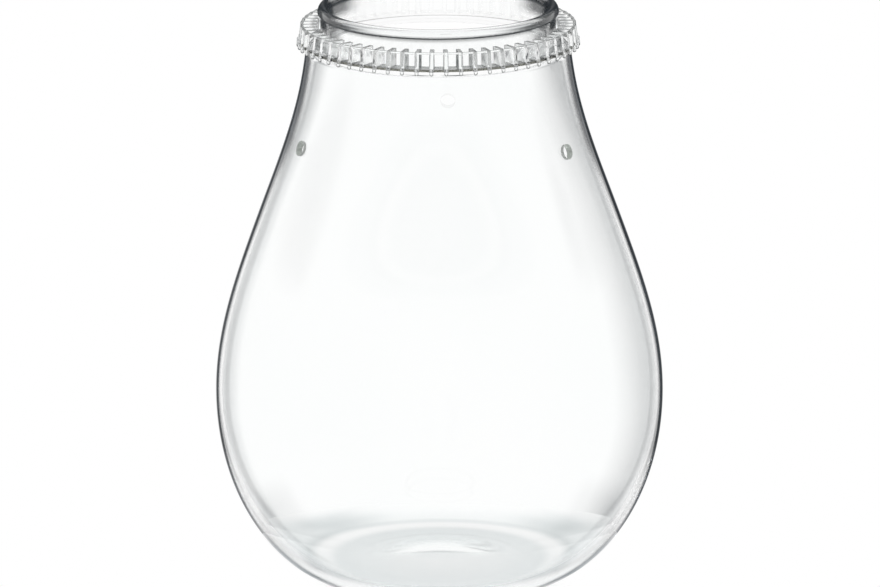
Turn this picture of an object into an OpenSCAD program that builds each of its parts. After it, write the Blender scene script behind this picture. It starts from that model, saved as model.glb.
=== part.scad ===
// Pear-shaped glass planter with a short neck, a rolled rim and three drilled
// vent holes, and the clear moulded collar of fins that sits round the neck.
// Millimetres, +Z up. The origin is on the table, on the vessel's axis, and -Y
// is the front. The collar is shown seated.

/* [Vessel] */
// Overall height, from the table to the top of the rim
vessel_h = 230; // [180:1:300]
// Largest outer diameter of the body
body_d = 175; // [150:1:220]
// Height of the widest line above the table
body_mid_h = 76; // [60:1:95]
// Outer diameter of the flat ring that the vessel stands on
foot_d = 66; // [50:1:86]
// Width of that ring
foot_flat = 2; // [1:0.5:4]
// Glass thickness at the widest part
wall = 2.4; // [1.8:0.1:3]
// Glass thickness at the neck
neck_wall = 2.8; // [2.2:0.1:3.4]
// Glass thickness at the bottom
base_wall = 4.5; // [3.5:0.1:6]
// Height of the dome pushed up into the bottom
punt_h = 5; // [3:0.5:8]
// Lean of the flank from upright where it is steepest, in degrees
flank_lean = 20; // [14:0.5:24]

/* [Neck and rim] */
// Outer diameter of the neck
neck_d = 90.8; // [80:0.1:100]
// Height of the neck, from the ledge to the top of the rim
neck_h = 15; // [13.5:0.1:18]
// How far the rolled rim stands out from the neck
rim_out = 1.2; // [0.8:0.1:1.6]
// Height of the rim's rounded top above its widest line
rim_top_h = 2.7; // [2:0.1:4]
// Height of the rim's underside below its widest line
rim_low_h = 1.2; // [0.8:0.1:1.8]
// Width of the flat part of the ledge round the neck
ledge_flat = 0.4; // [0.2:0.1:1.5]
// Radius of the fillet where the neck meets the ledge
neck_fillet = 2; // [1.5:0.1:2.2]
// Inside radius of the ledge's rounded corner
ledge_inner_r = 0.8; // [0.5:0.1:1.5]
// Lean of the wall from upright just under the ledge, in degrees
ledge_lean = 7; // [4:0.5:10]

/* [Vent holes] */
// Number of drilled holes
vent_count = 3; // [2:1:6]
// Diameter of each hole
vent_d = 6; // [4:0.5:9]
// Drop of the holes' centres below the ledge
vent_drop = 36; // [24:1:46]
// How far the side holes are set back from even spacing, in degrees
vent_set_back = 1.5; // [0:0.5:5]

/* [Collar] */
// Radial gap that lets the collar slip over the rim
slip_gap = 0.3; // [0.2:0.05:0.6]
// Gap between the ledge and the collar's underside
seat_gap = 0.3; // [0.2:0.05:0.5]
// Height of the collar, from its underside to the fins' top edge
fin_h = 7.6; // [6:0.1:9]
// Radial width of the fins at their top edge
fin_w = 6.3; // [5.5:0.1:8]
// How much further out the fins reach at their foot
fin_splay = 0.9; // [0.4:0.1:1.4]
// Thickness of a fin
fin_t = 1.7; // [1.2:0.1:2.2]
// Number of fins
fin_count = 60; // [40:1:66]
// Turn of the collar about the neck, in degrees
collar_turn = 1; // [0:0.5:5]
// Thickness of the plate that the fins stand on
plate_t = 0.9; // [0.7:0.1:1.4]
// How far the plate's edge stays inside the fins' foot
plate_inset = 0.9; // [0.6:0.1:1.4]
// Radial width of the hoop that ties the fins' tops together
hoop_w = 1; // [0.7:0.1:1.5]
// Height of that hoop
hoop_h = 0.7; // [0.5:0.1:1]
// How far the hoop stays inside the fins' top and outer edges
hoop_inset = 0.1; // [0.05:0.05:0.2]
// Width of the rounded leg at the foot of each fin
leg_w = 1.4; // [1:0.1:1.6]
// Height of a leg
leg_h = 2.7; // [2.2:0.1:3.6]
// How far a leg hangs below the collar's underside
leg_drop = 1.3; // [0.6:0.1:1.5]

/* [Hidden] */
$fn = 128;

// Names for the two parts of a point: distance from the axis, and height
body_r = body_d / 2;
foot_r = foot_d / 2;
punt_r = foot_r - foot_flat;
neck_r = neck_d / 2;
mouth_r = neck_r - neck_wall;
rim_r = neck_r + rim_out;
bead_mid = [(rim_r + mouth_r) / 2, vessel_h - rim_top_h];
bead_half = [(rim_r - mouth_r) / 2, rim_top_h];
bead_low = [bead_half.x, rim_low_h];
bead_foot = -acos((neck_r - bead_mid.x) / bead_half.x);
ledge_h = vessel_h - neck_h;
ledge_corner_r = neck_wall + ledge_inner_r;
corner_mid = [neck_r + neck_fillet + ledge_flat, ledge_h - ledge_corner_r];
fillet_mid = [neck_r + neck_fillet, ledge_h + neck_fillet];
vent_h = ledge_h - vent_drop;
overrun = 5;

// The flank's turning point, between the widest line and the ledge: its share
// of the way out from the ledge's corner, and of the way up
flank_shares = [0.524, 0.511];
// Handle lengths of the curves, as shares of the width or height each spans
bowl_shares = [0.57, 0.55];
lower_flank_shares = [0.33, 0.40];
upper_flank_shares = [0.38, 0.38];
// Points on each stretch of the outline
punt_steps = 14;
bowl_steps = 22;
flank_steps = 14;
corner_steps = 6;
bead_steps = 16;
bead_low_steps = 5;

function unit(v) = v / norm(v);
function lean(angle) = [-sin(angle), cos(angle)];
function on_arc(middle, radius, angle) = middle + radius * [cos(angle), sin(angle)];
function on_curve(p, t) = pow(1 - t, 3) * p[0] + 3 * pow(1 - t, 2) * t * p[1]
    + 3 * (1 - t) * t * t * p[2] + pow(t, 3) * p[3];
function along_curve(p, t) = unit(pow(1 - t, 2) * (p[1] - p[0])
    + 2 * (1 - t) * t * (p[2] - p[1]) + t * t * (p[3] - p[2]));
function inward(p, t) = let (d = along_curve(p, t)) [-d.y, d.x];

// The outline's curves run upward from the foot to the ledge's corner
corner_start = on_arc(corner_mid, ledge_corner_r, ledge_lean);
flank_turn = [corner_start.x + flank_shares.x * (body_r - corner_start.x),
    body_mid_h + flank_shares.y * (ledge_h - body_mid_h)];
lower_rise = flank_turn.y - body_mid_h;
upper_rise = corner_start.y - flank_turn.y;
bowl = [[foot_r, 0], [foot_r + bowl_shares.x * (body_r - foot_r), 0],
    [body_r, body_mid_h * (1 - bowl_shares.y)], [body_r, body_mid_h]];
lower_flank = [bowl[3], bowl[3] + lower_flank_shares[0] * lower_rise * lean(0),
    flank_turn - lower_flank_shares[1] * lower_rise * lean(flank_lean), flank_turn];
upper_flank = [flank_turn, flank_turn + upper_flank_shares[0] * upper_rise * lean(flank_lean),
    corner_start - upper_flank_shares[1] * upper_rise * lean(ledge_lean), corner_start];

// Points of one curve, moved inward by a thickness that eases from one value to another
function wall_points(p, steps, from, to) = [for (i = [1:steps]) let (t = i / steps)
    on_curve(p, t) + (from + (to - from) * (1 - cos(180 * t)) / 2) * inward(p, t)];
function arc_points(middle, radius, from, to, steps) =
    [for (i = [0:steps]) on_arc(middle, radius, from + (to - from) * i / steps)];
function oval_points(middle, half, from, to, steps) =
    [for (i = [0:steps]) let (a = from + (to - from) * i / steps)
        middle + [half.x * cos(a), half.y * sin(a)]];
function punt_points(lift) = concat([for (i = [0:punt_steps])
    [punt_r * i / punt_steps, lift + punt_h * (1 + cos(180 * i / punt_steps)) / 2]],
    [[foot_r, lift]]);
function reversed(list) = [for (i = [len(list) - 1:-1:0]) list[i]];

outer_flank = concat(wall_points(bowl, bowl_steps, 0, 0),
    wall_points(lower_flank, flank_steps, 0, 0), wall_points(upper_flank, flank_steps, 0, 0));
inner_flank = concat(wall_points(bowl, bowl_steps, base_wall, wall),
    wall_points(lower_flank, flank_steps, wall, wall),
    wall_points(upper_flank, flank_steps, wall, neck_wall));
outer_outline = concat(punt_points(0), outer_flank,
    arc_points(corner_mid, ledge_corner_r, ledge_lean, 90, corner_steps),
    arc_points(fillet_mid, neck_fillet, 270, 180, corner_steps),
    oval_points(bead_mid, bead_low, bead_foot, bead_foot / bead_low_steps, bead_low_steps - 1),
    oval_points(bead_mid, bead_half, 0, 180, bead_steps));
inner_outline = concat(punt_points(base_wall), inner_flank,
    arc_points(corner_mid, ledge_inner_r, ledge_lean, 90, corner_steps),
    arc_points(fillet_mid, neck_fillet + neck_wall, 270, 180, corner_steps));

// Where a vent hole goes through: the wall's radius and lean at its height
flank_table = [for (p = outer_flank) if (p.y > body_mid_h) [p.y, p.x]];
vent_r = lookup(vent_h, flank_table);
function vent_angle(i) = let (a = i * 360 / vent_count) 90 + a - vent_set_back * sin(a) / sin(60);
vent_lean = atan((lookup(vent_h - vent_d, flank_table) - lookup(vent_h + vent_d, flank_table))
    / (2 * vent_d));

// Collar sizes, worked out from the rim and the ledge
collar_r = rim_r + slip_gap;
feet_z = ledge_h + seat_gap;
top_z = feet_z + fin_h;
fin_out_r = collar_r + fin_w;
foot_out_r = fin_out_r + fin_splay;
plate_w = foot_out_r - plate_inset - collar_r;
fin_outline = [[collar_r, top_z], [collar_r, feet_z], [foot_out_r, feet_z], [fin_out_r, top_z]];
leg_round = leg_w / 2;
leg_low = [foot_out_r, feet_z - leg_drop + leg_round];
leg_high = leg_low + [0, leg_h - leg_w];
leg_steps = 8;
leg_outline = concat(arc_points(leg_low, leg_round, 180, 360, leg_steps),
    arc_points(leg_high, leg_round, 0, 180, leg_steps));

module glass_vessel()
{
    color([0.82, 0.9, 0.9, 0.4])
    difference() {
        rotate_extrude() polygon(concat(outer_outline, reversed(inner_outline)));
        for (i = [0:vent_count - 1])
            rotate([0, 0, vent_angle(i)]) vent_drill();
    }
}

// One drill, square to the wall at the hole's height
module vent_drill()
{
    translate([vent_r, 0, vent_h]) rotate([0, 90 - vent_lean, 0])
        cylinder(h = 2 * (neck_wall + overrun), d = vent_d, center = true);
}

module vent_collar()
{
    color([0.88, 0.92, 0.92, 0.6])
    union() {
        tube_ring(collar_r, plate_w, feet_z, plate_t);
        tube_ring(fin_out_r - hoop_inset - hoop_w, hoop_w, top_z - hoop_inset - hoop_h, hoop_h);
        for (i = [0:fin_count - 1]) rotate([0, 0, collar_turn + i * 360 / fin_count]) {
            upright(fin_t) polygon(fin_outline);
            upright(leg_w) polygon(leg_outline);
        }
    }
}

// A ring of rectangular section
module tube_ring(inner_r, width, base_z, height)
{
    rotate_extrude() translate([inner_r, base_z]) square([width, height]);
}

// A radial plate of one thickness, standing on edge
module upright(thickness)
{
    rotate([90, 0, 0]) linear_extrude(height = thickness, center = true) children();
}

glass_vessel();
vent_collar();
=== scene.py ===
import math

import bmesh
import bpy
import numpy as np
from mathutils import Matrix, Vector


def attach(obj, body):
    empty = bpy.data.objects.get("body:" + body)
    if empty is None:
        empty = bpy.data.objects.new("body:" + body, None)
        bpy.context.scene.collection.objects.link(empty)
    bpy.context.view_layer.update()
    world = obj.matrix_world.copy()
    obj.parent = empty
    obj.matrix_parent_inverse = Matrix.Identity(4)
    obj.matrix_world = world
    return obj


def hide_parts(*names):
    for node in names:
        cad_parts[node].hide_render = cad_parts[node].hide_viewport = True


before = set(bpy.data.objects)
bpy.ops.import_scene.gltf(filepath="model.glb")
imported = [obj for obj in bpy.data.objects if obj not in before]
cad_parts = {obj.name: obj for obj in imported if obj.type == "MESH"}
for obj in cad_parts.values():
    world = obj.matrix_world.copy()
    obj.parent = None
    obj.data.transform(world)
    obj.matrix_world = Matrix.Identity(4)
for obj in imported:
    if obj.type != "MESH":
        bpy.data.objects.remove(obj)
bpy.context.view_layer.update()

# Sizes of the vessel in millimetres, the same as in the CAD part
MM = 0.001
VESSEL_H = 230.0
BODY_R = 87.5
BODY_MID_H = 76.0
FOOT_R = 33.0
FOOT_FLAT = 2.0
PUNT_R = FOOT_R - FOOT_FLAT
PUNT_H = 5.0
WALL = 2.4
NECK_WALL = 2.8
BASE_WALL = 4.5
FLANK_LEAN = 20
LEDGE_LEAN = 7
NECK_R = 45.4
MOUTH_R = NECK_R - NECK_WALL
LEDGE_H = 215.0
LEDGE_FLAT = 0.4
FILLET_R = 2.0
CORNER_IN_R = 0.8
CORNER_R = NECK_WALL + CORNER_IN_R
RIM_OUT = 1.2
RIM_R = NECK_R + RIM_OUT
RIM_TOP_H = 2.7
RIM_LOW_H = 1.2
BEAD_MID = ((RIM_R + MOUTH_R) / 2, VESSEL_H - RIM_TOP_H)
BEAD_HALF_W = (RIM_R - MOUTH_R) / 2

# The drilled holes: where each meets the wall, and the wall's lean there in degrees
VENT_DROP = 36.0
VENT_H = LEDGE_H - VENT_DROP
VENT_R = 58.79
VENT_LEAN = 17.77
VENT_D = 6.0
VENT_SET_BACK = 1.5
VENT_ANGLES = (90, 210 - VENT_SET_BACK, 330 + VENT_SET_BACK)
DRILL_LENGTH = 14
DRILL_SIDES = 64

# Sizes of the collar
SLIP_GAP = 0.3
SEAT_GAP = 0.3
COLLAR_R = RIM_R + SLIP_GAP
FEET_Z = LEDGE_H + SEAT_GAP
FIN_H = 7.6
FIN_W = 6.3
FIN_SPLAY = 0.9
FIN_T = 1.7
TOP_Z = FEET_Z + FIN_H
FIN_OUT_R = COLLAR_R + FIN_W
FOOT_OUT_R = FIN_OUT_R + FIN_SPLAY
FIN_COUNT = 60
FIN_EDGE = 0.16
FIN_SHARP = 35
COLLAR_TURN = 1.0
PLATE_INSET = 0.9
PLATE_R = FOOT_OUT_R - PLATE_INSET
PLATE_T = 0.9
PLATE_EDGE = 0.15
PLATE_CLEAR = 0.02
HOOP_W = 1.0
HOOP_H = 0.7
HOOP_INSET = 0.1
HOOP_EDGE = 0.12
LEG_D = 1.4
LEG_H = 2.7
LEG_DROP = 1.3

# Handle lengths and the flank's turning point, as shares of what each spans
TURN_SHARES = (0.524, 0.511)
BOWL_SHARES = (0.57, 0.45)
LOWER_SHARES = (0.33, 0.40)
UPPER_SHARES = (0.38, 0.38)

# Points on the outlines and round the axis
PUNT_POINTS = 60
BOWL_STEPS = 110
FLANK_STEPS = 60
OUTER_CORNER_STEPS = 16
INNER_CORNER_STEPS = 12
OUTER_FILLET_STEPS = 10
INNER_FILLET_STEPS = 16
BEAD_POINTS = 72
VESSEL_SIDES = 384
RING_SIDES = 360
TABLE_SIDES = 96

# A radius below this is on the axis
ON_AXIS = 1e-9

# The slight waviness of the blown wall: its depth, its waves, and the heights over which it fades
WAVE_DEPTH = 0.12
WAVE_COUNT = 6
WAVE_STRENGTHS = (0.3, 1.0)
WAVE_SLANTS = (-0.05, 0.05)
WAVE_PHASES = (0, 6.28)
WAVE_STARTS = (2, 25)
WAVE_ENDS = (195, 212)
OUTER_SEED = 3
INNER_SEED = 8

# Slots of the vessel's materials, in the order in which they are added
OUTSIDE_SLOT = 0
INSIDE_SLOT = 2

# The camera, in pixels of the photograph, degrees and metres
PHOTO_W = 880
FOCAL_PX = 7000
SHIFT_PX = 0.9
SENSOR_W = 36.0
CAMERA_AZIMUTH = 3.8
CAMERA_PITCH = 14.9
CAMERA_ROLL = -0.19
CAMERA_DISTANCE = 2.73
CAMERA_NEAR = 0.1
CAMERA_FAR = 100
AIM_H = 0.1145


def smooth(start, end, x):
    t = np.clip((x - start) / (end - start), 0, 1)
    return t * t * (3 - 2 * t)


# The vessel's outline
def towards(angle):
    return np.array([math.cos(math.radians(angle)), math.sin(math.radians(angle))])


def lean(angle):
    return np.array([-math.sin(math.radians(angle)), math.cos(math.radians(angle))])


def bezier(handles, steps):
    """Points on a curve, and the direction into the glass at each."""
    t = np.linspace(0, 1, steps + 1)[:, None]
    p = [np.array(handle, float) for handle in handles]
    points = (1 - t) ** 3 * p[0] + 3 * (1 - t) ** 2 * t * p[1] + 3 * (1 - t) * t * t * p[2] + t ** 3 * p[3]
    along = (1 - t) ** 2 * (p[1] - p[0]) + 2 * (1 - t) * t * (p[2] - p[1]) + t * t * (p[3] - p[2])
    along /= np.linalg.norm(along, axis=1)[:, None]
    return points, np.stack([-along[:, 1], along[:, 0]], 1)


def arc(middle, radius, start, end, steps):
    a = np.radians(np.linspace(start, end, steps + 1))
    return np.stack([middle[0] + radius * np.cos(a), middle[1] + radius * np.sin(a)], 1)


def punt(lift):
    """The dome pushed up into the bottom."""
    r = np.linspace(0, PUNT_R, PUNT_POINTS)
    return np.stack([r, lift + PUNT_H * (1 + np.cos(np.pi * r / PUNT_R)) / 2], 1)


def flank_curves():
    """The bowl, lower flank and upper flank: handles, steps and the wall at each end."""
    corner = (NECK_R + FILLET_R + LEDGE_FLAT, LEDGE_H - CORNER_R)
    top = np.array(corner) + CORNER_R * towards(LEDGE_LEAN)
    turn = np.array([top[0] + TURN_SHARES[0] * (BODY_R - top[0]),
                     BODY_MID_H + TURN_SHARES[1] * (LEDGE_H - BODY_MID_H)])
    wide = np.array([BODY_R, BODY_MID_H])
    lower_rise = turn[1] - BODY_MID_H
    upper_rise = top[1] - turn[1]
    bowl = [(FOOT_R, 0), (FOOT_R + BOWL_SHARES[0] * (BODY_R - FOOT_R), 0),
            (BODY_R, BODY_MID_H * BOWL_SHARES[1]), wide]
    lower = [wide, wide + LOWER_SHARES[0] * lower_rise * lean(0),
             turn - LOWER_SHARES[1] * lower_rise * lean(FLANK_LEAN), turn]
    upper = [turn, turn + UPPER_SHARES[0] * upper_rise * lean(FLANK_LEAN),
             top - UPPER_SHARES[1] * upper_rise * lean(LEDGE_LEAN), top]
    return ((bowl, BOWL_STEPS, BASE_WALL, WALL), (lower, FLANK_STEPS, WALL, WALL),
            (upper, FLANK_STEPS, WALL, NECK_WALL))


def bead():
    """The rolled rim, from the neck's outside over the top to its inside."""
    foot = -math.acos((NECK_R - BEAD_MID[0]) / BEAD_HALF_W)
    a = np.linspace(foot, math.pi, BEAD_POINTS)
    half_h = np.where(a < 0, RIM_LOW_H, RIM_TOP_H)
    return np.stack([BEAD_MID[0] + BEAD_HALF_W * np.cos(a), BEAD_MID[1] + half_h * np.sin(a)], 1)


def outline():
    """Outer and inner outline, each from the axis at the bottom to the rim."""
    corner = (NECK_R + FILLET_R + LEDGE_FLAT, LEDGE_H - CORNER_R)
    fillet = (NECK_R + FILLET_R, LEDGE_H + FILLET_R)
    outer = [punt(0), [(FOOT_R, 0)]]
    inner = [punt(BASE_WALL), [(FOOT_R, BASE_WALL)]]
    for handles, steps, wall_from, wall_to in flank_curves():
        points, inward = bezier(handles, steps)
        ease = (1 - np.cos(np.pi * np.linspace(0, 1, steps + 1)))[:, None] / 2
        outer.append(points[1:])
        inner.append((points + (wall_from + (wall_to - wall_from) * ease) * inward)[1:])
    outer += [arc(corner, CORNER_R, LEDGE_LEAN, 90, OUTER_CORNER_STEPS)[1:],
              arc(fillet, FILLET_R, 270, 180, OUTER_FILLET_STEPS), bead()]
    inner += [arc(corner, CORNER_IN_R, LEDGE_LEAN, 90, INNER_CORNER_STEPS)[1:],
              arc(fillet, FILLET_R + NECK_WALL, 270, 180, INNER_FILLET_STEPS)]
    return np.concatenate(outer), np.concatenate(inner)


# Meshes
def add_object(name, mesh):
    thing = bpy.data.objects.new(name, mesh)
    bpy.context.scene.collection.objects.link(thing)
    return thing


def revolve(name, profile, sides, warps=None, closed=False, inside_from=None):
    """A mesh turned from a profile. Each point's warp moves its ring; faces from inside_from on take
    the inside slot."""
    angles = np.arange(sides) * 2 * np.pi / sides
    verts, rings = [], []
    for k, (r, z) in enumerate(np.array(profile, float)):
        if r < ON_AXIS:
            rings.append([len(verts)])
            verts.append((0, 0, z))
            continue
        ring_r, ring_z = np.full(sides, r), np.full(sides, z)
        if warps:
            ring_r = warps[k](ring_r, ring_z, angles)
        rings.append(list(range(len(verts), len(verts) + sides)))
        verts += list(zip(ring_r * np.cos(angles), ring_r * np.sin(angles), ring_z))
    pairs = list(zip(rings, rings[1:])) + ([(rings[-1], rings[0])] if closed else [])
    faces, slots = [], []
    for k, (low, high) in enumerate(pairs):
        slots += [INSIDE_SLOT if inside_from and k >= inside_from else OUTSIDE_SLOT] * sides
        for i in range(sides):
            j = (i + 1) % sides
            if len(low) == 1:
                faces.append((low[0], high[j], high[i]))
            elif len(high) == 1:
                faces.append((low[i], low[j], high[0]))
            else:
                faces.append((low[i], low[j], high[j], high[i]))
    mesh = bpy.data.meshes.new(name)
    mesh.from_pydata([(x * MM, y * MM, z * MM) for x, y, z in verts], [], faces)
    mesh.update()
    if inside_from:
        mesh.polygons.foreach_set("material_index", slots)
    return add_object(name, mesh)


def turn_faces_outward(thing):
    bm = bmesh.new()
    bm.from_mesh(thing.data)
    bmesh.ops.recalc_face_normals(bm, faces=bm.faces)
    bm.to_mesh(thing.data)
    bm.free()


def boolean(thing, other, operation, solver="MANIFOLD"):
    """Joins other to thing or cuts it out, and removes other. EXACT brings other's material along."""
    modifier = thing.modifiers.new("boolean", "BOOLEAN")
    modifier.operation = operation
    modifier.object = other
    modifier.solver = solver
    if solver == "EXACT":
        modifier.material_mode = "TRANSFER"
    graph = bpy.context.evaluated_depsgraph_get()
    mesh = bpy.data.meshes.new_from_object(thing.evaluated_get(graph))
    thing.modifiers.clear()
    thing.data = mesh
    bpy.data.objects.remove(other)


def shade_smooth(thing, crease=40):
    """Smooth shading, with edges sharper than crease degrees kept."""
    bm = bmesh.new()
    bm.from_mesh(thing.data)
    for face in bm.faces:
        face.smooth = True
    limit = math.radians(crease)
    for edge in bm.edges:
        edge.smooth = len(edge.link_faces) != 2 or edge.calc_face_angle(0) < limit
    bm.to_mesh(thing.data)
    bm.free()


# Shader nodes. Each function adds nodes to a tree and gives back the socket with the result.
def math_node(tree, operation, a, b=None, clamp=False):
    node = tree.nodes.new("ShaderNodeMath")
    node.operation = operation
    node.use_clamp = clamp
    for i, value in enumerate((a, b)):
        if isinstance(value, (int, float)):
            node.inputs[i].default_value = value
        elif value is not None:
            tree.links.new(value, node.inputs[i])
    return node.outputs[0]


def product(tree, first, *others):
    for other in others:
        first = math_node(tree, "MULTIPLY", first, other)
    return first


def greatest(tree, first, *others):
    for other in others:
        first = math_node(tree, "MAXIMUM", first, other)
    return first


def rest_of(tree, value):
    return math_node(tree, "SUBTRACT", 1.0, value)


def above(tree, value, limit):
    return math_node(tree, "GREATER_THAN", value, limit)


def below(tree, value, limit):
    return math_node(tree, "LESS_THAN", value, limit)


def step(tree, value, span, low=0.0, high=1.0):
    """A smooth change from low to high where value goes from span's first number to its second."""
    node = tree.nodes.new("ShaderNodeMapRange")
    node.interpolation_type = "SMOOTHSTEP"
    for name, given in zip(("From Min", "From Max", "To Min", "To Max"), (*span, low, high)):
        if isinstance(given, (int, float)):
            node.inputs[name].default_value = given
        else:
            tree.links.new(given, node.inputs[name])
    tree.links.new(value, node.inputs["Value"])
    return node.outputs["Result"]


def noise(tree, scale, detail=1.0):
    node = tree.nodes.new("ShaderNodeTexNoise")
    node.inputs["Scale"].default_value = scale
    node.inputs["Detail"].default_value = detail
    tree.links.new(object_place(tree), node.inputs["Vector"])
    return node.outputs["Fac"]


def ramp(tree, value, stops):
    """Colours by value. A stop is a place and a colour, or a place and a grey."""
    node = tree.nodes.new("ShaderNodeValToRGB")
    elements = node.color_ramp.elements
    while len(elements) < len(stops):
        elements.new(1.0)
    for element, (place, colour) in zip(elements, stops):
        element.position = place
        element.color = (*colour, 1) if isinstance(colour, tuple) else (colour, colour, colour, 1)
    tree.links.new(value, node.inputs["Fac"])
    return node.outputs["Color"]


def blend_colour(tree, share, a, b):
    """a where share is 0 and b where it is 1; each is a colour or a socket."""
    node = tree.nodes.new("ShaderNodeMixRGB")
    tree.links.new(share, node.inputs[0])
    for i, value in ((1, a), (2, b)):
        if isinstance(value, tuple):
            node.inputs[i].default_value = (*value, 1)
        else:
            tree.links.new(value, node.inputs[i])
    return node.outputs[0]


def bump(tree, relief, distance):
    node = tree.nodes.new("ShaderNodeBump")
    node.inputs["Strength"].default_value = 1.0
    node.inputs["Distance"].default_value = distance
    tree.links.new(relief, node.inputs["Height"])
    return node.outputs["Normal"]


def object_place(tree):
    return tree.nodes.new("ShaderNodeTexCoord").outputs["Object"]


def parts_of(tree, vector):
    node = tree.nodes.new("ShaderNodeSeparateXYZ")
    tree.links.new(vector, node.inputs[0])
    return node.outputs


def length_of(tree, vector):
    node = tree.nodes.new("ShaderNodeVectorMath")
    node.operation = "LENGTH"
    tree.links.new(vector, node.inputs[0])
    return node.outputs["Value"]


def height(tree):
    return parts_of(tree, object_place(tree))["Z"]


def from_axis(tree):
    """Distance from the object's upright axis."""
    flat = tree.nodes.new("ShaderNodeVectorMath")
    flat.operation = "MULTIPLY"
    flat.inputs[1].default_value = (1, 1, 0)
    tree.links.new(object_place(tree), flat.inputs[0])
    return length_of(tree, flat.outputs[0])


def facing(tree):
    """1 where the surface is seen straight on, 0 where the ray grazes it."""
    node = tree.nodes.new("ShaderNodeLayerWeight")
    node.inputs["Blend"].default_value = 0.5
    return rest_of(tree, node.outputs["Facing"])


def light_path(tree, name):
    return tree.nodes.new("ShaderNodeLightPath").outputs[name]


def mix_shader(tree, share, a, b):
    node = tree.nodes.new("ShaderNodeMixShader")
    tree.links.new(share, node.inputs[0])
    tree.links.new(a, node.inputs[1])
    tree.links.new(b, node.inputs[2])
    return node.outputs[0]


def diffuse(tree, colour):
    node = tree.nodes.new("ShaderNodeBsdfDiffuse")
    node.inputs["Color"].default_value = (*colour, 1)
    return node.outputs[0]


def let_through(tree, shader, share):
    """The material's surface: shader, with a share of rays that go straight through."""
    clear = tree.nodes.new("ShaderNodeBsdfTransparent").outputs[0]
    surface = mix_shader(tree, share, shader, clear)
    tree.links.new(surface, tree.nodes["Material Output"].inputs["Surface"])


def new_material(name, transmission, ior, roughness):
    material = bpy.data.materials.new(name)
    material.use_nodes = True
    tree = material.node_tree
    shader = tree.nodes["Principled BSDF"]
    shader.inputs["Transmission Weight"].default_value = transmission
    shader.inputs["IOR"].default_value = ior
    shader.inputs["Roughness"].default_value = roughness
    return material, tree, shader


# Glass and plastic. Heights and radii are in metres, and a pair is the start and end of a change.
# The values were chosen by comparing renders with the photograph.
GLASS_IOR = 1.52
PLASTIC_IOR = 1.5
GROUND_IOR = 1.5
GROUND_TRANSMISSION = 0.35
GROUND_ROUGHNESS = 0.6
GRAZING_TINT_AND_SHADE = (0.05, 0.45)
RIM_STARTS = (0.2258, 0.2262)
RIM_TOP_ENDS = (0.2292, 0.2284)
UNDER_RIM_ENDS = (0.2273, 0.2269)
RIM_SHADOW_STARTS = (0.2243, 0.2261)
RIM_SHADOW_ENDS = (0.2270, 0.2267)
INSIDE_STARTS = (0.2195, 0.2238)
INSIDE_ENDS = (0.2275, 0.2272)
CORNER_STARTS = (0.2165, 0.2180)
CORNER_ENDS = (0.2262, 0.2258)
FADE_STARTS = (0.200, 0.206)
UPPER_WALL_Z = 0.18
BOWL_ENDS = (0.058, 0.026)
LEGS_Z = 0.2152
PLATE_TOP_Z = 0.2163
PLATE_EDGE_R = (0.0529, 0.05335)
INNER_WALL_R = 0.0440
# Changes by how square the surface is to the ray, where 1 is straight on
NECK_GRAZING = (0.36, 0.27)
UNDER_RIM_TURNED = (0.94, 0.78)
RIM_TURNED = (0.93, 0.6)
INSIDE_TURNED = (0.73, 0.48)
CORNER_TURNED = (0.83, 0.78)
FIN_GRAZING = (0.6, 0.2)
LEG_GRAZING = (0.92, 0.4)
LEG_SQUARE = (0.3, 0.9)
# Colours of painted shade; the inner face's tint also holds the glass's own teal
PAINTED_EDGE_SHADE = (0.004, 0.006, 0.010)
RIM_PAINTED_SHADE = (0.48, 0.51, 0.52)
PAINTED_NECK_SHADE = (0.03, 0.035, 0.04)
INSIDE_TINT_AND_SHADE = (0.86, 0.915, 0.92)
FIN_PAINTED_SHADE = (0.32, 0.35, 0.35)
PLATE_EDGE_PAINTED_SHADE = (0.12, 0.12, 0.09)
LEG_SIDE_PAINTED_SHADE = (0.06, 0.065, 0.06)
PAINTED_FIN_SHADE = (0.05, 0.055, 0.05)
# Shares of the painted shade or of what is let through, at full strength
RIM_SHADOW_SHARE = 0.35
INSIDE_SHADE_SHARE = 0.75
CORNER_SHADE_SHARE = 0.65
FADE_SHARE = 0.88
FAR_HOLE_SHARE = 0.9
FAR_FIN_SHARE = 0.96
FIN_SHADE_SHARE = 0.45
LEG_EXTRA_SHADE_SHARE = 0.35
# Noise scales: of the relief of the surfaces, whose depths are in metres, and of their shades
GLASS_NOISE = 22.0
GLASS_RELIEF = 0.00006
PLASTIC_NOISE = 120.0
PLASTIC_RELIEF = 0.00002
GLASS_SHADE_NOISE = 14.0
GLASS_SHADES = ((0.3, (0.985, 0.993, 0.991)), (0.7, (0.995, 0.998, 0.997)))
PLASTIC_SHADE_NOISE = 60.0
PLASTIC_SHADES = ((0.3, (0.96, 0.975, 0.97)), (0.7, (0.985, 0.99, 0.988)))
GRAIN_NOISE = 900.0
GRAIN_SHADES = ((0.35, (0.54, 0.58, 0.54)), (0.7, (0.76, 0.80, 0.76)))
# Width of the wall's dark edge of painted shade, by height in metres. The scale makes the ramp reach to 0.25
# m, and the edge fades over these shares of its width.
EDGE_FADE_SHARES = (0.8, 1.2)
EDGE_SCALE = 4.0
EDGE_WIDTHS = ((0.02, 0.20), (0.04, 0.14), (0.12, 0.14), (0.15, 0.22), (0.18, 0.30),
               (0.212, 0.31), (0.216, 0.08), (0.2215, 0.08), (0.2235, 0.30))
# Share of painted shade at grazing angles, by height on a ramp that starts at 0.16 m and spans 1/14 m
NECK_DARK_FROM = 0.16
NECK_DARK_SCALE = 14.0
NECK_SHADE_BY_HEIGHT = ((0.05, 0.0), (0.24, 0.42), (0.49, 0.6), (0.74, 0.6), (0.79, 0.25), (0.86, 0.25),
             (0.89, 0.85))
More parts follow.
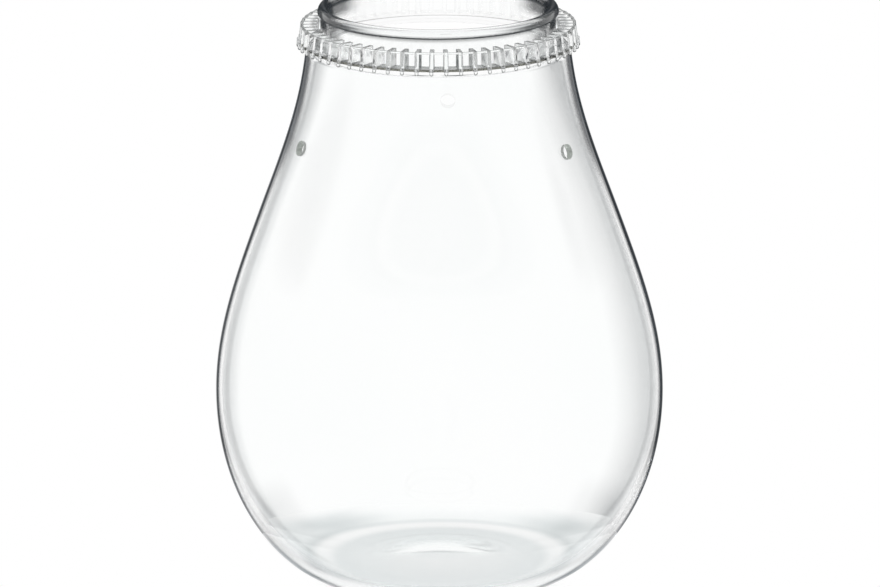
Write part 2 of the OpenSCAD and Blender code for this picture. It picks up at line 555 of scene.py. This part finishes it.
# Ray depths are whole numbers, and these limits lie between them: below NO_PASS is none, and above
# ONE_PASS is two or more
NO_PASS = 0.5
ONE_PASS = 1.5
TWO_PASSES = 2.5
THREE_PASSES = 3.5


def clear_glass_colour(tree):
    return ramp(tree, noise(tree, GLASS_SHADE_NOISE), GLASS_SHADES)


def finish_glass(tree, shader, surface, base, see_through):
    tree.links.new(base, shader.inputs["Base Color"])
    tree.links.new(bump(tree, noise(tree, GLASS_NOISE), GLASS_RELIEF), shader.inputs["Normal"])
    # Near the neck and the foot, a ray that has bounced twice in the wall leaves it straight on
    z = height(tree)
    near_ends = math_node(tree, "ADD", above(tree, z, UPPER_WALL_Z), step(tree, z, BOWL_ENDS))
    caught = product(tree, above(tree, light_path(tree, "Glossy Depth"), ONE_PASS), near_ends)
    let_through(tree, surface, greatest(tree, caught, see_through))


def neck_painted_shade_share(tree, z, square, back, first):
    """How much painted shade darkens the glass at the neck and rim."""
    # Painted shade where a ray grazes the neck or the rim's underside, by height
    grazing = step(tree, square, NECK_GRAZING)
    under_rim_shade = product(tree, step(tree, z, RIM_STARTS), step(tree, z, UNDER_RIM_ENDS),
                        step(tree, square, UNDER_RIM_TURNED))
    grazing = greatest(tree, grazing, under_rim_shade)
    by_height = ramp(tree, product(tree, math_node(tree, "SUBTRACT", z, NECK_DARK_FROM), NECK_DARK_SCALE),
                     NECK_SHADE_BY_HEIGHT)
    # A painted shadow on the neck just below the rim
    painted_rim_shadow = product(tree, step(tree, z, RIM_SHADOW_STARTS, 0.0, RIM_SHADOW_SHARE),
                        step(tree, z, RIM_SHADOW_ENDS))
    # Painted shade on the neck's inside, seen through the mouth, where it turns away
    inside = product(tree, first, below(tree, from_axis(tree), INNER_WALL_R), step(tree, z, INSIDE_STARTS),
                     step(tree, z, INSIDE_ENDS), step(tree, square, INSIDE_TURNED, 0.0, INSIDE_SHADE_SHARE))
    # Painted shade on its outside as well, seen from within the glass
    corner = product(tree, back, below(tree, light_path(tree, "Transmission Depth"), ONE_PASS),
                     below(tree, light_path(tree, "Glossy Depth"), NO_PASS),
                     step(tree, square, CORNER_TURNED), step(tree, z, CORNER_STARTS),
                     step(tree, z, CORNER_ENDS), CORNER_SHADE_SHARE)
    return greatest(tree, product(tree, grazing, by_height), painted_rim_shadow, inside, corner)


def glass_outside_material():
    """Clear soda glass, with painted shade where a ray grazes the wall and at the neck and rim."""
    material, tree, shader = new_material("clear_glass", 1.0, GLASS_IOR, 0.0)
    z, square = height(tree), facing(tree)
    back = tree.nodes.new("ShaderNodeNewGeometry").outputs["Backfacing"]
    first = below(tree, light_path(tree, "Transmission Depth"), NO_PASS)
    # Painted shade: the wall's edge, where a ray grazes it, is painted near black
    width = ramp(tree, product(tree, z, EDGE_SCALE), [(at * EDGE_SCALE, grey) for at, grey in EDGE_WIDTHS])
    away_from_edge = step(tree, square, [product(tree, width, share) for share in EDGE_FADE_SHARES])
    base = blend_colour(tree, away_from_edge, PAINTED_EDGE_SHADE, clear_glass_colour(tree))
    # The rolled rim is thick; painted shade makes its outer face greyer the more it turns away
    rim = product(tree, step(tree, z, RIM_STARTS), step(tree, z, RIM_TOP_ENDS),
                  step(tree, square, RIM_TURNED))
    base = blend_colour(tree, rim, base, RIM_PAINTED_SHADE)
    # Painted shade: a near-black diffuse mixed in at the neck and rim
    painted_shade = diffuse(tree, PAINTED_NECK_SHADE)
    surface = mix_shader(tree, neck_painted_shade_share(tree, z, square, back, first), shader.outputs[0], painted_shade)
    # A ray that the inner face let through goes on through this one
    finish_glass(tree, shader, surface, base, product(tree, back, first))
    return material


def glass_inside_material():
    """The inner face. Through the mouth its upper part is faded, as the photograph hardly shows it."""
    material, tree, shader = new_material("clear_glass_inside", 1.0, GLASS_IOR, 0.0)
    # The inner face is teal where a ray grazes it: the glass's own tint, deepened by painted shade
    tint = step(tree, facing(tree), GRAZING_TINT_AND_SHADE)
    base = blend_colour(tree, tint, INSIDE_TINT_AND_SHADE, clear_glass_colour(tree))
    first = below(tree, light_path(tree, "Transmission Depth"), NO_PASS)
    faded = product(tree, first, step(tree, height(tree), FADE_STARTS, 0.0, FADE_SHARE))
    finish_glass(tree, shader, shader.outputs[0], base, faded)
    return material


def ground_glass_material():
    """The drilled holes' rough walls, fainter where they are seen through glass in front of them."""
    material, tree, shader = new_material("ground_glass", GROUND_TRANSMISSION, GROUND_IOR, GROUND_ROUGHNESS)
    grain = ramp(tree, noise(tree, GRAIN_NOISE, detail=2.0), GRAIN_SHADES)
    tree.links.new(grain, shader.inputs["Base Color"])
    beyond = product(tree, above(tree, light_path(tree, "Transmission Depth"), ONE_PASS), FAR_HOLE_SHARE)
    let_through(tree, shader.outputs[0], beyond)
    return material


def plastic_material():
    """Clear moulded plastic, with painted shade where a ray grazes it, on the plate's edge and on the legs'
    sides.
    """
    material, tree, shader = new_material("clear_plastic", 1.0, PLASTIC_IOR, 0.0)
    r, z, square = from_axis(tree), height(tree), facing(tree)
    clear = ramp(tree, noise(tree, PLASTIC_SHADE_NOISE), PLASTIC_SHADES)
    # Painted shade: surfaces that a ray grazes are tinted dark
    base = blend_colour(tree, step(tree, square, GRAZING_TINT_AND_SHADE), FIN_PAINTED_SHADE, clear)
    # Painted shade: a dark olive band on the plate's outer edge
    plate_edge = product(tree, above(tree, r, PLATE_EDGE_R[0]), below(tree, r, PLATE_EDGE_R[1]),
                         below(tree, z, PLATE_TOP_Z))
    base = blend_colour(tree, plate_edge, base, PLATE_EDGE_PAINTED_SHADE)
    legs = below(tree, z, LEGS_Z)
    # Painted shade on the legs' sides
    leg_sides = product(tree, legs, rest_of(tree, step(tree, square, LEG_SQUARE)))
    base = blend_colour(tree, leg_sides, base, LEG_SIDE_PAINTED_SHADE)
    tree.links.new(base, shader.inputs["Base Color"])
    tree.links.new(bump(tree, noise(tree, PLASTIC_NOISE), PLASTIC_RELIEF), shader.inputs["Normal"])
    # Painted shade: a near-black diffuse mixed in where a ray grazes a fin, more on the legs
    grazing = greatest(tree, step(tree, square, FIN_GRAZING),
                       product(tree, legs, step(tree, square, LEG_GRAZING)))
    strength = math_node(tree, "ADD", product(tree, legs, LEG_EXTRA_SHADE_SHARE), FIN_SHADE_SHARE)
    painted_shade = diffuse(tree, PAINTED_FIN_SHADE)
    surface = mix_shader(tree, product(tree, grazing, strength), shader.outputs[0], painted_shade)
    # A ray that has bounced three times leaves it, and fins seen through two surfaces are faint
    caught = above(tree, light_path(tree, "Glossy Depth"), TWO_PASSES)
    passes = greatest(tree, light_path(tree, "Transmission Depth"), light_path(tree, "Transparent Depth"))
    beyond = product(tree, above(tree, passes, ONE_PASS), FAR_FIN_SHARE)
    let_through(tree, surface, greatest(tree, caught, beyond))
    return material


# The vessel
def wavy(seed):
    """A warp that moves a ring's points inward by a slight waviness."""
    def warp(r, z, angles):
        rng = np.random.default_rng(seed)
        waves = np.zeros_like(angles)
        for k in range(1, WAVE_COUNT + 1):
            waves += (rng.uniform(*WAVE_STRENGTHS) / k
                      * np.sin(k * angles + z * rng.uniform(*WAVE_SLANTS) + rng.uniform(*WAVE_PHASES)))
        fade = smooth(*WAVE_STARTS, z) * (1 - smooth(*WAVE_ENDS, z))
        return r - WAVE_DEPTH * fade * np.clip((1 + waves / 2) / 2, 0, 1)
    return warp


def drill(angle, material):
    """A rod through the wall, square to it, whose material lines the hole."""
    a, tilt = math.radians(angle), math.radians(VENT_LEAN)
    bm = bmesh.new()
    bmesh.ops.create_cone(bm, cap_ends=True, segments=DRILL_SIDES, radius1=VENT_D / 2 * MM,
                          radius2=VENT_D / 2 * MM, depth=DRILL_LENGTH * MM)
    mesh = bpy.data.meshes.new("drill")
    bm.to_mesh(mesh)
    bm.free()
    mesh.materials.append(material)
    rod = add_object("drill", mesh)
    middle = Vector((VENT_R * math.cos(a), VENT_R * math.sin(a), VENT_H)) * MM
    axis = Vector((math.cos(a) * math.cos(tilt), math.sin(a) * math.cos(tilt), math.sin(tilt)))
    rod.matrix_world = Matrix.Translation(middle) @ axis.to_track_quat("Z", "Y").to_matrix().to_4x4()
    bpy.context.view_layer.update()
    return rod


def make_vessel(outside, ground, inside):
    outer, inner = outline()
    profile = np.concatenate([outer, inner[::-1]])
    warps = [wavy(OUTER_SEED)] * len(outer) + [wavy(INNER_SEED)] * len(inner)
    vessel = revolve("planter_glass", profile, VESSEL_SIDES, warps, inside_from=len(outer))
    turn_faces_outward(vessel)
    for material in (outside, ground, inside):
        vessel.data.materials.append(material)
    for angle in VENT_ANGLES:
        boolean(vessel, drill(angle, ground), "DIFFERENCE", "EXACT")
    shade_smooth(vessel)
    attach(vessel, "vessel")
    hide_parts("glass_vessel")


# The collar
def fin():
    """One fin as a plate on the XZ plane, with rounded edges."""
    outline_points = [(COLLAR_R, TOP_Z), (COLLAR_R, FEET_Z), (FOOT_OUT_R, FEET_Z), (FIN_OUT_R, TOP_Z)]
    bm = bmesh.new()
    left = [bm.verts.new((x * MM, -FIN_T / 2 * MM, z * MM)) for x, z in outline_points]
    right = [bm.verts.new((x * MM, FIN_T / 2 * MM, z * MM)) for x, z in outline_points]
    bm.faces.new(left)
    bm.faces.new(right[::-1])
    count = len(outline_points)
    for i in range(count):
        j = (i + 1) % count
        bm.faces.new((left[i], right[i], right[j], left[j]))
    bmesh.ops.recalc_face_normals(bm, faces=bm.faces)
    edges = [edge for edge in bm.edges if edge.calc_face_angle(0) > math.radians(FIN_SHARP)]
    bmesh.ops.bevel(bm, geom=edges, offset=FIN_EDGE * MM, segments=2, affect="EDGES", profile=0.5)
    return bm


def leg(half_rings=5, sides=16):
    """One upright round pin with rounded ends, at the foot of a fin."""
    low = FEET_Z - LEG_DROP
    high = low + LEG_H
    radius = LEG_D / 2
    angles = np.radians(np.linspace(-90, 90, 2 * half_rings + 1))
    profile = [(radius * math.cos(a), (low + radius if a < 0 else high - radius) + radius * math.sin(a))
               for a in angles]
    profile[0], profile[-1] = (0.0, low), (0.0, high)
    profile.insert(half_rings, (radius, low + radius))
    bm = bmesh.new()
    loops = []
    for r, z in profile:
        turns = [2 * math.pi * k / sides for k in range(sides)] if r > ON_AXIS else [0.0]
        loops.append([bm.verts.new(((FOOT_OUT_R + r * math.cos(t)) * MM, r * math.sin(t) * MM, z * MM))
                      for t in turns])
    for lower, upper in zip(loops, loops[1:]):
        for k in range(sides):
            j = (k + 1) % sides
            corners = [lower[k % len(lower)], lower[j % len(lower)],
                       upper[j % len(upper)], upper[k % len(upper)]]
            bm.faces.new(list(dict.fromkeys(corners)))
    bmesh.ops.recalc_face_normals(bm, faces=bm.faces)
    return bm


def around(name, bm):
    """Copies of one piece turned round the axis, one for each fin, as one mesh."""
    one = bpy.data.meshes.new("one")
    bm.to_mesh(one)
    bm.free()
    places = np.array([vert.co for vert in one.vertices])
    polygons = [list(polygon.vertices) for polygon in one.polygons]
    verts, faces = [], []
    for i in range(FIN_COUNT):
        a = math.radians(COLLAR_TURN + 360 * i / FIN_COUNT)
        turn = np.array([[math.cos(a), -math.sin(a), 0], [math.sin(a), math.cos(a), 0], [0, 0, 1]])
        start = len(verts)
        verts += list(map(tuple, places @ turn.T))
        faces += [[k + start for k in polygon] for polygon in polygons]
    mesh = bpy.data.meshes.new(name)
    mesh.from_pydata(verts, [], faces)
    mesh.update()
    return add_object(name, mesh)


def ring(name, inner_r, outer_r, low, high, edge):
    """A ring of rectangular section with rounded edges."""
    corners = (((outer_r - edge, high - edge), 0), ((inner_r + edge, high - edge), 90),
               ((inner_r + edge, low + edge), 180), ((outer_r - edge, low + edge), 270))
    profile = [point for middle, start in corners for point in arc(middle, edge, start, start + 90, 4)]
    thing = revolve(name, profile, RING_SIDES, closed=True)
    turn_faces_outward(thing)
    return thing


def make_collar(plastic):
    collar = around("vent_ring", fin())
    legs = around("legs", leg())
    plate = ring("plate", COLLAR_R + PLATE_CLEAR, PLATE_R, FEET_Z + PLATE_CLEAR, FEET_Z + PLATE_T, PLATE_EDGE)
    hoop_r, hoop_z = FIN_OUT_R - HOOP_INSET, TOP_Z - HOOP_INSET
    hoop = ring("hoop", hoop_r - HOOP_W, hoop_r, hoop_z - HOOP_H, hoop_z, HOOP_EDGE)
    for piece in (plate, hoop, legs):
        boolean(collar, piece, "UNION")
    collar.data.materials.clear()
    collar.data.materials.append(plastic)
    collar.data.polygons.foreach_set("material_index", [0] * len(collar.data.polygons))
    shade_smooth(collar)
    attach(collar, "collar")
    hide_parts("vent_collar")


# The studio. Flags are brightness by degrees to the side of the backdrop's middle.
FLAG_SPAN = 40
LEFT_FLAG = ((6.2, 1), (9.7, 0.45), (12.9, 0.12), (19, 0.1), (22, 1))
RIGHT_FLAG = ((3.6, 1), (6.8, 0.5), (9.5, 0.22), (12.3, 0.05), (20, 0.05), (23, 1))
LOW_GREY = (8, 22)
LOW_GREY_SHARE = 0.58
FLAG_BLACK = (0.02, 0.03, 0.04)
# Changes by the height of the ray's direction: the flags end, the grey below them starts, and level
FLAGS_END = (-0.34, -0.46)
LOW_GREY_STARTS = (-0.48, -0.60)
LEVEL = (-0.05, 0.05)
# The change from the front of the studio to the part behind the object
BEHIND_STARTS = (-0.05, 0.15)
# Brightness by height of the direction, from 0.2 below level
WALL_LIFT = 0.2
WALL_LIGHT = ((0.40, 1), (0.45, 0.35), (0.50, 0.1), (0.72, 0.1), (0.95, 1))
WHITE = (1, 1, 1)


def flag(tree, turn, stops):
    return ramp(tree, turn, [(degrees / FLAG_SPAN, grey) for degrees, grey in stops])


def background(tree, colour):
    node = tree.nodes.new("ShaderNodeBackground")
    if isinstance(colour, tuple):
        node.inputs["Color"].default_value = (*colour, 1)
    else:
        tree.links.new(colour, node.inputs["Color"])
    return node.outputs[0]


def studio_colour(tree):
    """What the glass shows of the studio, by the direction of the ray."""
    x, y, z = parts_of(tree, tree.nodes.new("ShaderNodeTexCoord").outputs["Generated"])
    # Behind the object stands a white backdrop, with a black flag on each side of it and white beyond
    side = math_node(tree, "SUBTRACT", math_node(tree, "ARCTAN2", x, y), math.radians(-CAMERA_AZIMUTH))
    turn = math_node(tree, "DIVIDE", math_node(tree, "ABSOLUTE", side), math.radians(FLAG_SPAN))
    level = blend_colour(tree, above(tree, side, 0.0), flag(tree, turn, LEFT_FLAG),
                         flag(tree, turn, RIGHT_FLAG))
    level = greatest(tree, level, step(tree, z, FLAGS_END))
    # Well below it, to the sides, it is grey again
    to_sides = step(tree, turn, [degrees / FLAG_SPAN for degrees in LOW_GREY], 0.0, LOW_GREY_SHARE)
    level = product(tree, level, rest_of(tree, product(tree, step(tree, z, LOW_GREY_STARTS), to_sides)))
    # Above the backdrop the room is darker, up to the light overhead
    wall = ramp(tree, math_node(tree, "ADD", z, WALL_LIFT), WALL_LIGHT)
    # Light that has come a long way through the glass is white
    passes, bounces = light_path(tree, "Transmission Depth"), light_path(tree, "Glossy Depth")
    long_way = greatest(tree, above(tree, passes, THREE_PASSES),
                        product(tree, above(tree, passes, ONE_PASS), above(tree, bounces, NO_PASS)))
    wall = greatest(tree, wall, long_way)
    level = greatest(tree, level, product(tree, long_way, step(tree, z, LEVEL)))
    behind = step(tree, y, BEHIND_STARTS)
    shut = product(tree, behind, rest_of(tree, product(tree, level, wall)))
    return blend_colour(tree, rest_of(tree, shut), FLAG_BLACK, WHITE)


def make_world():
    world = bpy.data.worlds.new("studio")
    bpy.context.scene.world = world
    world.use_nodes = True
    tree = world.node_tree
    tree.nodes.clear()
    output = tree.nodes.new("ShaderNodeOutputWorld")
    glass_ray = math_node(tree, "ADD", light_path(tree, "Is Glossy Ray"),
                          light_path(tree, "Is Transmission Ray"), clamp=True)
    shown = mix_shader(tree, glass_ray, background(tree, WHITE), background(tree, studio_colour(tree)))
    shown = mix_shader(tree, light_path(tree, "Is Camera Ray"), shown, background(tree, WHITE))
    tree.links.new(shown, output.inputs[0])


# The table under the object: the radii of its rings and its drop in millimetres. Its painted tone of shadow
# and light goes by the distance from the middle, as shares of TABLE_SPAN, which is in metres.
TABLE_RINGS = (0, 30, 60, 86)
TABLE_DROP = 0.02
TABLE_SPAN = 0.1
TABLE_PAINTED_LIGHT_AND_SHADE = ((0.0, (0.68, 0.69, 0.69)), (0.42, (0.57, 0.60, 0.605)), (0.47, (0.78, 0.78, 0.78)),
              (0.51, (0.78, 0.78, 0.78)), (0.56, (0.42, 0.46, 0.465)), (0.66, (0.45, 0.49, 0.495)),
              (0.80, (0.62, 0.65, 0.655)))
# Two patches of lighter painted tone (painted light): one in the middle from side to side, and one that
# spares the back.
# Places to the side and in depth are in metres, and far ones are shares of TABLE_SPAN.
MIDDLE_SIDE = (0.052, 0.018)
MIDDLE_FAR = (0.50, 0.60)
MIDDLE_SHARE = 0.8
MIDDLE_PAINTED_LIGHT = (0.86, 0.87, 0.87)
FRONT_DEPTH = (0.042, 0.026)
FRONT_FAR = (0.54, 0.62)
FRONT_PAINTED_LIGHT = (0.64, 0.67, 0.675)
TABLE_GREY = (0.25, 0.25, 0.25)
# Where it is white: to the camera from just outside the foot, in the middle, and all round
CAMERA_WHITE_FROM = (0.034, 0.052)
MIDDLE_WHITE_FAR = (0.62, 0.82)
MIDDLE_WHITE_SIDE = (0.058, 0.03)
WHITE_FAR = (0.70, 0.86)


def table_material():
    """A grey table whose glow is painted shadow and painted light, white at its rim and, to the camera,
    outside the foot.
    """
    material = bpy.data.materials.new("table")
    material.use_nodes = True
    tree = material.node_tree
    tree.nodes.clear()
    output = tree.nodes.new("ShaderNodeOutputMaterial")
    place = object_place(tree)
    distance = length_of(tree, place)
    far = math_node(tree, "DIVIDE", distance, TABLE_SPAN)
    to_side = math_node(tree, "ABSOLUTE", parts_of(tree, place)["X"])
    depth = parts_of(tree, place)["Y"]
    # Painted shadow and light: the glow has grey rings of painted shadow and a brighter painted ring
    painted_tone = ramp(tree, far, TABLE_PAINTED_LIGHT_AND_SHADE)
    middle = product(tree, step(tree, to_side, MIDDLE_SIDE), step(tree, far, MIDDLE_FAR, 0.0, MIDDLE_SHARE))
    painted_tone = blend_colour(tree, middle, painted_tone, MIDDLE_PAINTED_LIGHT)
    front = product(tree, step(tree, depth, FRONT_DEPTH), step(tree, far, FRONT_FAR))
    painted_tone = blend_colour(tree, front, painted_tone, FRONT_PAINTED_LIGHT)
    painted_glow = tree.nodes.new("ShaderNodeEmission")
    tree.links.new(painted_tone, painted_glow.inputs["Color"])
    grey = tree.nodes.new("ShaderNodeAddShader")
    tree.links.new(diffuse(tree, TABLE_GREY), grey.inputs[0])
    tree.links.new(painted_glow.outputs[0], grey.inputs[1])
    white = tree.nodes.new("ShaderNodeEmission").outputs[0]
    to_camera = product(tree, step(tree, distance, CAMERA_WHITE_FROM), light_path(tree, "Is Camera Ray"))
    plain = greatest(tree, to_camera,
                     product(tree, step(tree, far, MIDDLE_WHITE_FAR), step(tree, to_side, MIDDLE_WHITE_SIDE)),
                     step(tree, far, WHITE_FAR))
    tree.links.new(mix_shader(tree, plain, grey.outputs[0], white), output.inputs[0])
    return material


def make_floor():
    floor = revolve("studio_table", [(r, -TABLE_DROP) for r in TABLE_RINGS], TABLE_SIDES)
    floor.data.materials.append(table_material())


def make_camera():
    lens = bpy.data.cameras.new("photo_camera")
    camera = add_object("photo_camera", lens)
    lens.sensor_width = SENSOR_W
    lens.lens = FOCAL_PX * SENSOR_W / PHOTO_W
    lens.clip_start = CAMERA_NEAR
    lens.clip_end = CAMERA_FAR
    lens.shift_x = SHIFT_PX / PHOTO_W
    azimuth, pitch = math.radians(CAMERA_AZIMUTH), math.radians(CAMERA_PITCH)
    back = Vector((math.sin(azimuth) * math.cos(pitch), -math.cos(azimuth) * math.cos(pitch),
                   math.sin(pitch)))
    camera.location = Vector((0, 0, AIM_H)) + back * CAMERA_DISTANCE
    camera.rotation_mode = "QUATERNION"
    roll = Matrix.Rotation(math.radians(CAMERA_ROLL), 3, "Z").to_quaternion()
    camera.rotation_quaternion = (-back).to_track_quat("-Z", "Y") @ roll
    bpy.context.scene.camera = camera


make_vessel(glass_outside_material(), ground_glass_material(), glass_inside_material())
make_collar(plastic_material())
make_world()
make_floor()
make_camera()
bpy.context.scene.view_settings.view_transform = "Standard"
